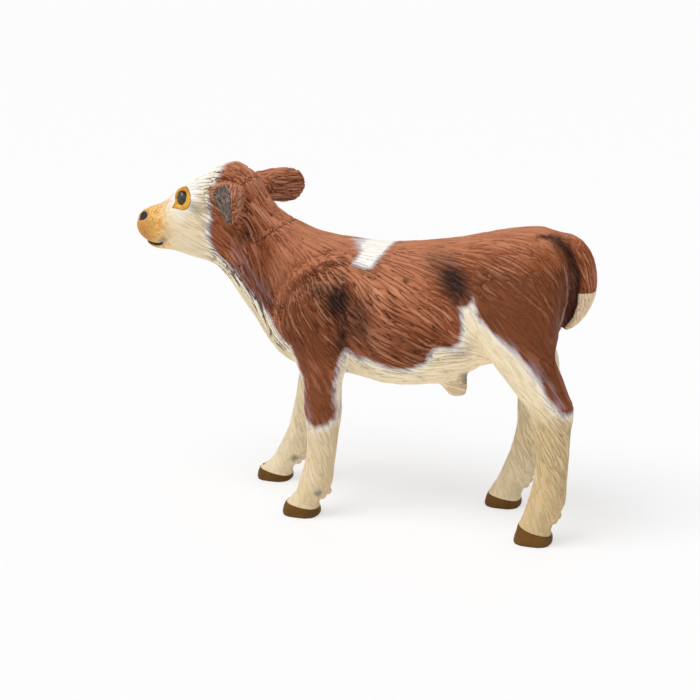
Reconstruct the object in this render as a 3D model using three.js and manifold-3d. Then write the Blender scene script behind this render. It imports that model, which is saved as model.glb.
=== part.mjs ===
// A toy farm animal figure: a standing calf, moulded in one solid casting, with an insert glued
// into the nape that holds both ears.
//
// Millimetres, +Z up. The nose points towards -X and the calf's left side faces -Y. The soles of
// the hooves stand on z = 0, and the origin lies under the middle of the figure's length.

import * as THREE from 'three';
import { mergeVertices } from 'three/addons/utils/BufferGeometryUtils.js';
import Module from 'manifold-3d';

const wasm = await Module();
wasm.setup();

// Overall sizes
const figureLength = 96; // nose to the bow of the tail
const pollHeight = 69.4; // sole to the top of the poll

// Widths of the head, neck and trunk, from the nose to the rump
const noseTipWidth = 4.2;
const noseWidth = 7;
const muzzleWidth = 8.7;
const bridgeWidth = 9.2;
const eyeWidth = 12.4;
const browWidth = 13.8;
const pollWidth = 13.2;
const napeWidth = 13;
const neckWidth = 15.4;
const neckRootWidth = 18.4;
const breastWidth = 20.6;
const girthWidth = 22.4;
const barrelWidth = 25.4;
const loinWidth = 23.6;
const haunchWidth = 21.4;
const rumpWidth = 16.6;
const tailRootWidth = 11;

// Stance
const stanceWidth = 19.2; // between the middles of a pair of hooves
const foreHoofPlace = -8.8; // the near fore hoof's middle, along the figure
const hindHoofPlace = 39.2;
const foreLead = 13.7; // how far the far foreleg is set ahead of the near one
const hindLead = 11.2;

// Forelegs, from the shoulder blade down
const foreLegHeight = 53;
const bladeTopDepth = 6.4;
const bladeDepth = 11.6;
const shoulderDepth = 15.8;
const upperArmDepth = 13.2;
const elbowDepth = 10.2;
const forearmDepth = 8;
const kneeDepth = 7.7;
const underKneeDepth = 6.8;
const foreCannonDepth = 6.1;
const foreFetlockDepth = 6.8;
const forePasternDepth = 6.4;
const bladeTopWidth = 3.2;
const bladeWidth = 6.6;
const shoulderWidth = 8.2;
const elbowWidth = 7.4;
const forearmWidth = 6.7;
const kneeWidth = 6.8;
const foreCannonWidth = 5.5;
const foreFetlockWidth = 6.5;
const forePasternWidth = 6.2;

// Hind legs, from the hip down
const hindLegHeight = 57.5;
const hipTopDepth = 8;
const hipDepth = 14;
const thighDepth = 18.2;
const buttockDepth = 16.4;
const stifleDepth = 13.2;
const gaskinDepth = 11.8;
const lowerGaskinDepth = 10.1;
const hockDepth = 8.7;
const underHockDepth = 7.5;
const hindCannonDepth = 6.4;
const hindFetlockDepth = 7.3;
const hindPasternDepth = 6.7;
const hipTopWidth = 3;
const hipWidth = 5.6;
const thighWidth = 8.4;
const stifleWidth = 7.8;
const gaskinWidth = 6.8;
const hockWidth = 6.4;
const hindCannonWidth = 5.4;
const hindFetlockWidth = 6.6;
const hindPasternWidth = 6.4;

// Hooves and dewclaws
const foreHoofLength = 7.6;
const hindHoofLength = 7.5;
const hoofWidth = 6.6;
const hoofToeHeight = 2.9;
const hoofHeelHeight = 2.1;
const cleftWidth = 0.7;
const dewclawRadius = 1;

// Tail
const tailWidth = 5.6;
const tailThickness = 5;

// Ears, and the insert that holds them
const earReach = 11.4; // how far an ear's tip stands out from the side of the poll
const earHeight = 7.3;
const earThickness = 1.6; // at the tip
const earRootThickness = 8; // from here the ear thins towards its tip, like a wedge
const earCup = 0.9; // how far the ear's rims curl forwards
const pegRadius = 2.2;
const pegLength = 6;
const seamGap = 0.3; // glue gap round the insert and its peg

// Small forms
const eyeRadius = 2.1;
const nostrilRadius = 1.15;
const sheathLength = 8;
const sheathWidth = 5;
const sheathDrop = 3.4;
const overrun = 12; // how far a cutter reaches past the surface that it cuts

// Facets
const torsoSides = 28;
const limbSides = 16;
const smallSides = 12;
const torsoSteps = 2; // rings from one station to the next
const limbSteps = 2;

// Shares along the figure (of its length) and up it (of the poll height), for the station lines
// that run through the torso from its top line to its under line, nose first.
const torsoShares = [
  // top x, top z, under x, under z, height of the widest place
  [-0.499, 0.817, -0.496, 0.785, 0.5],
  [-0.493, 0.834, -0.486, 0.768, 0.5],
  [-0.481, 0.85, -0.474, 0.753, 0.48],
  [-0.463, 0.865, -0.463, 0.742, 0.45],
  [-0.429, 0.892, -0.439, 0.734, 0.45],
  [-0.393, 0.922, -0.415, 0.728, 0.5],
  [-0.351, 0.951, -0.391, 0.719, 0.58],
  [-0.314, 0.975, -0.366, 0.71, 0.56],
  [-0.274, 0.998, -0.342, 0.704, 0.52],
  [-0.234, 0.966, -0.315, 0.692, 0.48],
  [-0.213, 0.917, -0.288, 0.663, 0.45],
  [-0.19, 0.877, -0.252, 0.601, 0.45],
  [-0.163, 0.852, -0.215, 0.536, 0.45],
  [-0.132, 0.831, -0.182, 0.473, 0.45],
  [-0.096, 0.813, -0.137, 0.424, 0.45],
  [-0.048, 0.802, -0.074, 0.412, 0.45],
  [0.008, 0.794, -0.002, 0.405, 0.46],
  [0.076, 0.793, 0.071, 0.389, 0.46],
  [0.15, 0.805, 0.144, 0.393, 0.46],
  [0.223, 0.822, 0.211, 0.41, 0.47],
  [0.285, 0.843, 0.274, 0.454, 0.5],
  [0.348, 0.86, 0.337, 0.48, 0.5],
  [0.389, 0.862, 0.384, 0.504, 0.5],
  [0.426, 0.85, 0.421, 0.561, 0.5],
  [0.445, 0.828, 0.441, 0.634, 0.5],
];
const torsoWidths = [
  noseTipWidth,
  noseWidth,
  muzzleWidth,
  muzzleWidth,
  bridgeWidth,
  eyeWidth,
  browWidth,
  browWidth,
  pollWidth,
  napeWidth,
  napeWidth,
  neckWidth,
  neckWidth,
  neckRootWidth,
  breastWidth,
  girthWidth,
  girthWidth,
  barrelWidth,
  barrelWidth,
  loinWidth,
  loinWidth,
  haunchWidth,
  haunchWidth,
  rumpWidth,
  tailRootWidth,
];
const fullnessShare = 0.9; // 1 gives plain ovals, less gives fuller sides
const hoofFullnessShare = 0.75;
const noseTipShares = [-0.501, 0.8];
const rumpTipShares = [0.453, 0.735];

// Shares for the leg stations, from the top down: height up the leg, the middle's distance behind
// the hoof's middle (of the leg's height) and its distance out (of half the stance width).
const foreLegShares = [
  [1, 0.164, 0.44],
  [0.943, 0.14, 0.64],
  [0.868, 0.106, 0.83],
  [0.792, 0.075, 0.93],
  [0.717, 0.068, 0.95],
  [0.651, 0.079, 0.96],
  [0.585, 0.083, 0.97],
  [0.519, 0.085, 0.98],
  [0.425, 0.087, 0.97],
  [0.349, 0.085, 0.96],
  [0.264, 0.079, 0.96],
  [0.189, 0.068, 0.98],
  [0.142, 0.06, 1],
  [0.094, 0.041, 1],
  [0.057, 0.01, 1],
  [0.023, 0.004, 1],
];
const foreLegDepths = [
  bladeTopDepth,
  bladeDepth,
  shoulderDepth,
  shoulderDepth,
  shoulderDepth,
  upperArmDepth,
  elbowDepth,
  forearmDepth,
  kneeDepth,
  underKneeDepth,
  foreCannonDepth,
  foreCannonDepth,
  foreFetlockDepth,
  forePasternDepth,
  forePasternDepth,
  forePasternDepth,
];
const foreLegWidths = [
  bladeTopWidth,
  bladeWidth,
  shoulderWidth,
  shoulderWidth,
  shoulderWidth,
  shoulderWidth,
  elbowWidth,
  forearmWidth,
  kneeWidth,
  foreCannonWidth,
  foreCannonWidth,
  foreFetlockWidth,
  foreFetlockWidth,
  forePasternWidth,
  forePasternWidth,
  forePasternWidth,
];
const hindLegShares = [
  [1, -0.118, 0.42],
  [0.957, -0.115, 0.6],
  [0.887, -0.101, 0.75],
  [0.8, -0.094, 0.875],
  [0.713, -0.078, 0.93],
  [0.635, -0.059, 0.96],
  [0.565, -0.014, 0.96],
  [0.504, 0.021, 0.95],
  [0.461, 0.045, 0.94],
  [0.391, 0.05, 0.94],
  [0.304, 0.056, 0.95],
  [0.209, 0.05, 0.97],
  [0.148, 0.042, 0.99],
  [0.096, 0.023, 1],
  [0.056, 0.003, 1],
  [0.021, 0, 1],
];
const hindLegDepths = [
  hipTopDepth,
  hipDepth,
  thighDepth,
  thighDepth,
  buttockDepth,
  stifleDepth,
  gaskinDepth,
  lowerGaskinDepth,
  hockDepth,
  underHockDepth,
  hindCannonDepth,
  hindCannonDepth,
  hindFetlockDepth,
  hindPasternDepth,
  hindPasternDepth,
  hindPasternDepth,
];
const hindLegWidths = [
  hipTopWidth,
  hipWidth,
  thighWidth,
  thighWidth,
  thighWidth,
  stifleWidth,
  gaskinWidth,
  hockWidth,
  hockWidth,
  hindCannonWidth,
  hindCannonWidth,
  hindCannonWidth,
  hindFetlockWidth,
  hindPasternWidth,
  hindPasternWidth,
  hindPasternWidth,
];
const swingBendShare = 1.2; // above 1, a leg set forwards bends more near its top

// The tail's middle line, as shares of the length and the poll height, with its swell.
const tailShares = [
  [0.357, 0.815, 0.5],
  [0.397, 0.822, 0.8],
  [0.437, 0.816, 0.95],
  [0.461, 0.788, 1],
  [0.473, 0.74, 1],
  [0.472, 0.684, 0.95],
  [0.459, 0.632, 0.78],
  [0.444, 0.6, 0.52],
  [0.436, 0.584, 0.25],
];

// The insert's outline on the middle plane, as shares of the length and the poll height.
const seamShares = [
  [-0.202, 0.781], // the point of the V
  [-0.232, 0.828],
  [-0.257, 0.862],
  [-0.272, 0.893],
  [-0.272, 0.925],
  [-0.259, 0.945],
  [-0.241, 0.945],
];
const seamBackShares = [-0.125, 0.857]; // where the V's back line leaves the nape
const seamFrontShares = [-0.209, 0.985]; // where the front line leaves the back of the poll

// Height up the hoof, and its toe, heel and width there, as shares of its sizes
const hoofLevelShares = [
  [0, 0.98, 0.94, 0.97],
  [0.2, 1, 1, 1],
  [0.6, 0.94, 1, 0.99],
  [1, 0.82, 0.94, 0.92],
];

// Ear root and tip, as shares of the length and the poll height
const earRootSpreadShare = 0.25; // how far from the middle an ear starts, of the poll's width
const earRootShares = [-0.281, 0.92];
const earTipShares = [-0.2, 0.9];
// Place along the ear, its height and how far its rims curl there, as shares of its sizes
const earShares = [
  [0, 0.5, 0.2],
  [0.17, 0.62, 0.5],
  [0.34, 0.8, 0.9],
  [0.5, 0.94, 1],
  [0.66, 1, 0.85],
  [0.8, 0.98, 0.6],
  [0.91, 0.84, 0.4],
  [0.975, 0.56, 0.3],
  [1, 0.2, 0.2],
];

const dewclawStation = 13; // the leg station that carries the dewclaws, counted from the top
const dewclawTurnShare = 0.08; // how far each is turned from the leg's back line, of a whole turn
const eyeShares = [-0.374, 0.897];
const eyeSpreadShare = 0.36;
const eyeFlatShare = 0.7;
const nostrilSpreadShare = 0.45;
const nostrilShares = [-0.495, 0.826];
const sheathShares = [0.203, 0.412]; // the middle of its root, on the under line
// Depth down the sheath, its middle's shift back, its length and its width there
const sheathLevelShares = [
  [-0.6, -0.1, 1, 1],
  [0, -0.04, 0.92, 0.9],
  [0.5, 0.08, 0.66, 0.72],
  [0.85, 0.17, 0.42, 0.54],
  [1, 0.2, 0.2, 0.3],
];

const materials = {
  body_casting: { color: 0x96553c, roughness: 0.55, metalness: 0 },
  ear_insert: { color: 0xa0603f, roughness: 0.6, metalness: 0 },
};

// A point of the middle plane from its two shares
function middlePoint([along, up], side = 0) {
  return new THREE.Vector3(along * figureLength, side, up * pollHeight);
}

// Catmull-Rom rows between the given rows
function refine(rows, steps) {
  const fine = [];
  const last = rows.length - 1;
  for (let i = 0; i < last; i += 1) {
    const a = rows[Math.max(i - 1, 0)];
    const b = rows[i];
    const c = rows[i + 1];
    const d = rows[Math.min(i + 2, last)];
    for (let k = 0; k < steps; k += 1) {
      const t = k / steps;
      fine.push(b.map((value, j) => catmullRom(a[j], value, c[j], d[j], t)));
    }
  }
  fine.push(rows[last]);
  return fine;
}

function catmullRom(a, b, c, d, t) {
  const straight = (c - a) / 2;
  const bend = a - 2.5 * b + 2 * c - d / 2;
  const twist = (d - a) / 2 + 1.5 * (b - c);
  return b + straight * t + bend * t * t + twist * t * t * t;
}

// A closed solid through rings of points, its ends closed to a point each
function loft(rings, start, end) {
  const sides = rings[0].length;
  const points = [start, ...rings.flat(), end];
  const index = [];
  const at = (ring, side) => 1 + ring * sides + (side % sides);
  for (let s = 0; s < sides; s += 1) {
    index.push(0, at(0, s + 1), at(0, s));
    for (let r = 0; r < rings.length - 1; r += 1) {
      index.push(at(r, s), at(r, s + 1), at(r + 1, s + 1));
      index.push(at(r, s), at(r + 1, s + 1), at(r + 1, s));
    }
    index.push(points.length - 1, at(rings.length - 1, s), at(rings.length - 1, s + 1));
  }
  const geometry = new THREE.BufferGeometry().setFromPoints(points);
  geometry.setIndex(index);
  return solid(geometry);
}

// A manifold solid from a closed geometry, turned right side out where a mirror turned it over
function solid(source) {
  const geometry = source.clone();
  geometry.deleteAttribute('normal');
  geometry.deleteAttribute('uv');
  const merged = mergeVertices(geometry);
  const vertProperties = new Float32Array(merged.attributes.position.array);
  const triVerts = new Uint32Array(merged.index.array);
  if (signedVolume(vertProperties, triVerts) < 0) triVerts.reverse();
  return new wasm.Manifold(new wasm.Mesh({ numProp: 3, vertProperties, triVerts }));
}

function signedVolume(positions, index) {
  const corner = (i) => new THREE.Vector3().fromArray(positions, index[i] * 3);
  let volume = 0;
  for (let i = 0; i < index.length; i += 3) {
    volume += corner(i).dot(corner(i + 1).cross(corner(i + 2)));
  }
  return volume;
}

function meshOf(name, manifold) {
  const { vertProperties, triVerts } = manifold.getMesh();
  const geometry = new THREE.BufferGeometry();
  geometry.setAttribute('position', new THREE.BufferAttribute(vertProperties, 3));
  geometry.setIndex(new THREE.BufferAttribute(triVerts, 1));
  const mesh = new THREE.Mesh(geometry, new THREE.MeshStandardMaterial(materials[name]));
  mesh.name = name;
  return mesh;
}

function ball(centre, radii) {
  const geometry = new THREE.SphereGeometry(1, smallSides, smallSides / 2);
  geometry.scale(...radii);
  geometry.translate(...centre);
  return solid(geometry);
}

// Fills an oval out towards a rounded box
function full(value, share) {
  return Math.sign(value) * Math.abs(value) ** share;
}

// Head, neck and trunk: oval rings on tilted station lines
function torso() {
  const rows = torsoShares.map(([topX, topZ, underX, underZ, widest], i) => [
    topX * figureLength,
    topZ * pollHeight,
    underX * figureLength,
    underZ * pollHeight,
    widest,
    torsoWidths[i],
  ]);
  const rings = refine(rows, torsoSteps).map(([topX, topZ, underX, underZ, widest, width]) => {
    const ring = [];
    for (let s = 0; s < torsoSides; s += 1) {
      const turn = (s / torsoSides) * 2 * Math.PI;
      const rise = full(Math.sin(turn), fullnessShare);
      const up = rise > 0 ? widest + rise * (1 - widest) : widest * (1 + rise);
      const x = THREE.MathUtils.lerp(underX, topX, up);
      const z = THREE.MathUtils.lerp(underZ, topZ, up);
      const out = full(Math.cos(turn), fullnessShare);
      ring.push(new THREE.Vector3(x, (out * width) / 2, z));
    }
    return ring;
  });
  return loft(rings, middlePoint(noseTipShares), middlePoint(rumpTipShares));
}

// How far forwards a leg that leads by this much has swung at this share of its height
function swing(lead, up) {
  return lead * (1 - up ** swingBendShare);
}

// A leg on level oval rings. The far leg swings forwards about the top of the leg.
function leg(shares, depths, widths, height, place, lead, side) {
  const rows = shares.map(([up, behind, out], i) => [
    up * height,
    place + behind * height - swing(lead, up),
    (side * out * stanceWidth) / 2,
    depths[i],
    widths[i],
  ]);
  const rings = refine(rows, limbSteps).map(([z, x, y, depth, width]) => {
    const ring = [];
    for (let s = 0; s < limbSides; s += 1) {
      const turn = (s / limbSides) * 2 * Math.PI;
      const dx = (Math.cos(turn) * depth) / 2;
      const dy = (Math.sin(turn) * width) / 2;
      ring.push(new THREE.Vector3(x + dx, y + dy, z));
    }
    return ring;
  });
  const crown = middleOf(rings[0]);
  const foot = middleOf(rings[rings.length - 1]);
  return loft(rings, crown, foot);
}

function middleOf(ring) {
  const sum = ring.reduce((total, point) => total.add(point), new THREE.Vector3());
  return sum.divideScalar(ring.length);
}

// A hoof with a flat sole, a sloping toe and the cleft between its two claws
function hoof(length, place, side) {
  const centreY = (side * stanceWidth) / 2;
  const rings = hoofLevelShares.map(([level, toe, heel, wide]) => {
    const ring = [];
    for (let s = 0; s < limbSides; s += 1) {
      const turn = (s / limbSides) * 2 * Math.PI;
      const forward = full(Math.cos(turn), hoofFullnessShare);
      const out = full(Math.sin(turn), hoofFullnessShare);
      const top = THREE.MathUtils.lerp(hoofHeelHeight, hoofToeHeight, (1 + forward) / 2);
      const x = place - (forward * (forward > 0 ? toe : heel) * length) / 2;
      const y = centreY + (out * wide * hoofWidth) / 2;
      ring.push(new THREE.Vector3(x, y, level * top));
    }
    return ring;
  });
  const horn = loft(rings, middleOf(rings[0]), middleOf(rings[rings.length - 1]));
  const cleft = new THREE.BoxGeometry(length / 2, cleftWidth, hoofToeHeight * 2);
  cleft.translate(place - length / 2, centreY, 0);
  return horn.subtract(solid(cleft));
}

// Two small knobs on the back of the pastern, centred on the leg's surface
function dewclaws(shares, depths, widths, height, place, lead, side) {
  const [up, behind, out] = shares[dewclawStation];
  const middle = place + behind * height - swing(lead, up);
  return [-1, 1].map((turned) => {
    const turn = turned * dewclawTurnShare * 2 * Math.PI;
    const x = middle + (Math.cos(turn) * depths[dewclawStation]) / 2;
    const y = (side * out * stanceWidth + Math.sin(turn) * widths[dewclawStation]) / 2;
    return ball([x, y, up * height], [dewclawRadius, dewclawRadius, dewclawRadius]);
  });
}

// The sheath: a short fold of skin that hangs below the navel and tapers backwards
function sheath() {
  const root = middlePoint(sheathShares);
  const rings = sheathLevelShares.map(([down, back, long, wide]) => {
    const ring = [];
    for (let s = 0; s < smallSides; s += 1) {
      const turn = (s / smallSides) * 2 * Math.PI;
      const x = (back + (Math.cos(turn) * long) / 2) * sheathLength;
      const y = (Math.sin(turn) * wide * sheathWidth) / 2;
      ring.push(new THREE.Vector3(root.x + x, y, root.z - down * sheathDrop));
    }
    return ring;
  });
  return loft(rings, middleOf(rings[0]), middleOf(rings[rings.length - 1]));
}

function tail() {
  const rows = tailShares.map(([along, up, swell]) => [
    along * figureLength,
    up * pollHeight,
    swell,
  ]);
  const fine = refine(rows, limbSteps);
  const rings = fine.map(([x, z, swell], i) => {
    const before = fine[Math.max(i - 1, 0)];
    const after = fine[Math.min(i + 1, fine.length - 1)];
    const run = new THREE.Vector2(after[0] - before[0], after[1] - before[1]).normalize();
    const ring = [];
    for (let s = 0; s < limbSides; s += 1) {
      const turn = (s / limbSides) * 2 * Math.PI;
      const lift = (Math.cos(turn) * swell * tailThickness) / 2;
      const y = (Math.sin(turn) * swell * tailWidth) / 2;
      ring.push(new THREE.Vector3(x - run.y * lift, y, z + run.x * lift));
    }
    return ring;
  });
  return loft(rings, middleOf(rings[0]), middleOf(rings[rings.length - 1]));
}

// An ear: a thick leaf that stands out from the head and sweeps back, a little hollow in front.
// The slot that an ear leaves in the body is the same leaf, grown by the glue gap.
function ear(side, gap) {
  const root = middlePoint(earRootShares, side * pollWidth * earRootSpreadShare);
  const tip = middlePoint(earTipShares, side * (pollWidth / 2 + earReach));
  const along = tip.clone().sub(root).normalize();
  const back = new THREE.Vector3(0, 0, 1).cross(along).multiplyScalar(-side).normalize();
  const tall = back.clone().cross(along).normalize();
  const rings = refine(earShares, limbSteps).map(([share, swell, cup]) => {
    const centre = root.clone().lerp(tip, share);
    const thick = THREE.MathUtils.lerp(earRootThickness, earThickness, share);
    const ring = [];
    for (let s = 0; s < limbSides; s += 1) {
      const turn = (s / limbSides) * 2 * Math.PI;
      const across = Math.cos(turn);
      const bulge = Math.sin(turn) * (thick / 2 + gap) + (0.5 - across * across) * earCup * cup;
      const point = centre.clone().addScaledVector(tall, across * ((swell * earHeight) / 2 + gap));
      ring.push(point.addScaledVector(back, bulge));
    }
    return ring;
  });
  return loft(rings, middleOf(rings[0]), middleOf(rings[rings.length - 1]));
}

// The cutter that parts the insert from the body, drawn in by a gap where one is given
function seamCutter(gap) {
  const points = [...seamShares, seamFrontShares, seamBackShares].map((share) => {
    const place = middlePoint(share);
    return new THREE.Vector2(place.x, place.z);
  });
  const back = points.pop();
  const front = points.pop();
  const point = points[0];
  const arch = points[points.length - 1];
  const frontRun = front.clone().sub(arch).normalize().multiplyScalar(overrun);
  const backRun = back.clone().sub(point).normalize().multiplyScalar(overrun);
  const outline = drawIn([...points, front.clone().add(frontRun), back.clone().add(backRun)], gap);
  const geometry = new THREE.ExtrudeGeometry(new THREE.Shape(outline), {
    depth: napeWidth + 2 * overrun,
    bevelEnabled: false,
  });
  geometry.rotateX(Math.PI / 2);
  geometry.translate(0, napeWidth / 2 + overrun, 0);
  return solid(geometry);
}

// Moves every edge of a closed outline inwards by the gap
function drawIn(outline, gap) {
  const turn = Math.sign(THREE.ShapeUtils.area(outline));
  return outline.map((corner, i) => {
    const before = outline[(i + outline.length - 1) % outline.length];
    const after = outline[(i + 1) % outline.length];
    const mean = inwards(before, corner, turn).add(inwards(corner, after, turn));
    return corner.clone().addScaledVector(mean, (2 * gap) / mean.lengthSq());
  });
}

// The direction square to an edge, to its left where the turn is 1 and to its right where it is -1
function inwards(from, to, turn) {
  const run = to.clone().sub(from).normalize();
  return run.rotateAround(new THREE.Vector2(), (turn * Math.PI) / 2);
}

// The peg under the point of the V, or the socket that takes it
function peg(gap) {
  const point = middlePoint(seamShares[0]);
  const radius = pegRadius + gap;
  const length = pegLength + gap;
  const geometry = new THREE.CylinderGeometry(radius, radius, length, limbSides);
  geometry.rotateX(Math.PI / 2);
  geometry.translate(point.x, 0, point.z + pegRadius - length / 2);
  return solid(geometry);
}

function legsAndHooves() {
  const near = { side: -1, fore: 0, hind: 0 };
  const far = { side: 1, fore: foreLead, hind: hindLead };
  const foreLeg = [foreLegShares, foreLegDepths, foreLegWidths, foreLegHeight, foreHoofPlace];
  const hindLeg = [hindLegShares, hindLegDepths, hindLegWidths, hindLegHeight, hindHoofPlace];
  return [near, far].flatMap(({ side, fore, hind }) => [
    leg(...foreLeg, fore, side),
    leg(...hindLeg, hind, side),
    hoof(foreHoofLength, foreHoofPlace - fore, side),
    hoof(hindHoofLength, hindHoofPlace - hind, side),
    ...dewclaws(...foreLeg, fore, side),
    ...dewclaws(...hindLeg, hind, side),
  ]);
}

function eyes() {
  return [-1, 1].map((side) => {
    const place = middlePoint(eyeShares, side * eyeWidth * eyeSpreadShare);
    return ball(place.toArray(), [eyeRadius, eyeRadius * eyeFlatShare, eyeRadius]);
  });
}

function nostrils() {
  return [-1, 1].map((side) => {
    const place = middlePoint(nostrilShares, side * noseWidth * nostrilSpreadShare);
    return ball(place.toArray(), [nostrilRadius, nostrilRadius, nostrilRadius]);
  });
}

// The whole figure before the insert is parted from it
function wholeFigure() {
  const added = [tail(), sheath(), ...legsAndHooves(), ...eyes()];
  const grown = added.reduce((figure, form) => figure.add(form), torso());
  return nostrils().reduce((figure, hollow) => figure.subtract(hollow), grown);
}

function calf() {
  const figure = wholeFigure();
  const socket = seamCutter(0).add(peg(seamGap)).add(ear(-1, seamGap)).add(ear(1, seamGap));
  const wedge = figure.intersect(seamCutter(seamGap));
  const insert = wedge.add(peg(0)).add(ear(-1, 0)).add(ear(1, 0));
  const group = new THREE.Group();
  group.add(meshOf('body_casting', figure.subtract(socket)), meshOf('ear_insert', insert));
  const box = new THREE.Box3().setFromObject(group);
  group.position.x = -(box.min.x + box.max.x) / 2;
  return group;
}

export default calf();
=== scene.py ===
# %% [markdown]
# A toy calf, about ten centimetres long: a solid PVC casting with carved hair, painted by hand.
# The CAD model gives the two castings, the body and the insert that carries both ears. They have
# the right size and the right forms, but they are faceted and bare. This lesson turns copies of
# them into the finished figure: first a smooth skin, then the small forms of the face, then the
# carved hair, and at last the paint. Everything is in metres, in the frame of the CAD model.

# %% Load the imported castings
import math

import bpy
import numpy as np
from mathutils import Matrix, Vector, kdtree
from mathutils.bvhtree import BVHTree


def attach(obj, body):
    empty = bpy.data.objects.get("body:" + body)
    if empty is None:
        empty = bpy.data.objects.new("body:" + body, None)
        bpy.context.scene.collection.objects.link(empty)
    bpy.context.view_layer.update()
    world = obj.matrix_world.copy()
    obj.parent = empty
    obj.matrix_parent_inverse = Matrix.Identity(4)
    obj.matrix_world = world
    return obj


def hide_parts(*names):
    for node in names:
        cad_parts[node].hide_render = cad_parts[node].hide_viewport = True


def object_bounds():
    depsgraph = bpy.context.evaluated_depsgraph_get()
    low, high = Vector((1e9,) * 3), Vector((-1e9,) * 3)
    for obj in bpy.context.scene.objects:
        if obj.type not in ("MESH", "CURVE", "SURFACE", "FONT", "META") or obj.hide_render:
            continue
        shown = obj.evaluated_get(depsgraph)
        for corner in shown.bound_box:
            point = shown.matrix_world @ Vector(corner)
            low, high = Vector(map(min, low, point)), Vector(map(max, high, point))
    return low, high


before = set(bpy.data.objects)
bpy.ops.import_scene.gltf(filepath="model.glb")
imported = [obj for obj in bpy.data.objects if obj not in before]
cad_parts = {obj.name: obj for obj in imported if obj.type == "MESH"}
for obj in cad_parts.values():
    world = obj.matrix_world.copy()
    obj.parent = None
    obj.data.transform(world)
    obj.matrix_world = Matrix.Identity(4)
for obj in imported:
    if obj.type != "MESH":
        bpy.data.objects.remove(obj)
cad_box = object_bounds()
mm = 0.001
print("castings:", sorted(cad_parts))
print("box in mm:", [[round(v / mm, 1) for v in corner] for corner in cad_box])

# %% [markdown]
# The camera looks at the calf's left side, from a little behind and a little above. It stands
# about a third of a metre away, so that near hooves look lower in the picture than far ones. The
# small shift moves the calf to its place in the frame without turning the camera.

# %% Camera
def direction(azimuth, elevation):
    """Where a camera or lamp stands, as seen from the calf: compass and height in degrees"""
    a, e = math.radians(azimuth), math.radians(elevation)
    return Vector((math.sin(a) * math.cos(e), -math.cos(a) * math.cos(e), math.sin(e)))


camera_azimuth = 20
camera_elevation = 14
camera_distance = 350 * mm
camera_target = Vector((-0.65, 0, 35)) * mm
frame_pixels = 700
pixels_per_mm = 4.98
target_pixel = (355.7, 337.8)

back = direction(camera_azimuth, camera_elevation)
bpy.ops.object.camera_add(location=camera_target + back * camera_distance)
camera = bpy.context.object
camera.name = "camera"
camera.rotation_mode = "QUATERNION"
camera.rotation_quaternion = (-back).to_track_quat("-Z", "Y")
camera.data.lens = camera.data.sensor_width * pixels_per_mm * (camera_distance / mm) / frame_pixels
camera.data.shift_x = -(target_pixel[0] - frame_pixels / 2) / frame_pixels
camera.data.shift_y = (target_pixel[1] - frame_pixels / 2) / frame_pixels
camera.data.clip_start = 10 * mm
camera.data.clip_end = 20
bpy.context.scene.camera = camera
print("lens", round(camera.data.lens, 1), "mm")

# %% [markdown]
# Every surface gets its paint from nodes. A few helpers keep that readable: one reads a layer of
# numbers from the mesh, one makes a mask out of it with a soft edge, one gives noise, and one lays
# coats of colour over each other.

# %% Shader helpers
def srgb(red, green, blue):
    """A colour as a paint chart gives it, 0 to 255, turned into the numbers that shaders take"""
    parts = np.array([red, green, blue]) / 255
    linear = np.where(parts <= 0.04045, parts / 12.92, ((parts + 0.055) / 1.055) ** 2.4)
    return (*linear.tolist(), 1.0)


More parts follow.
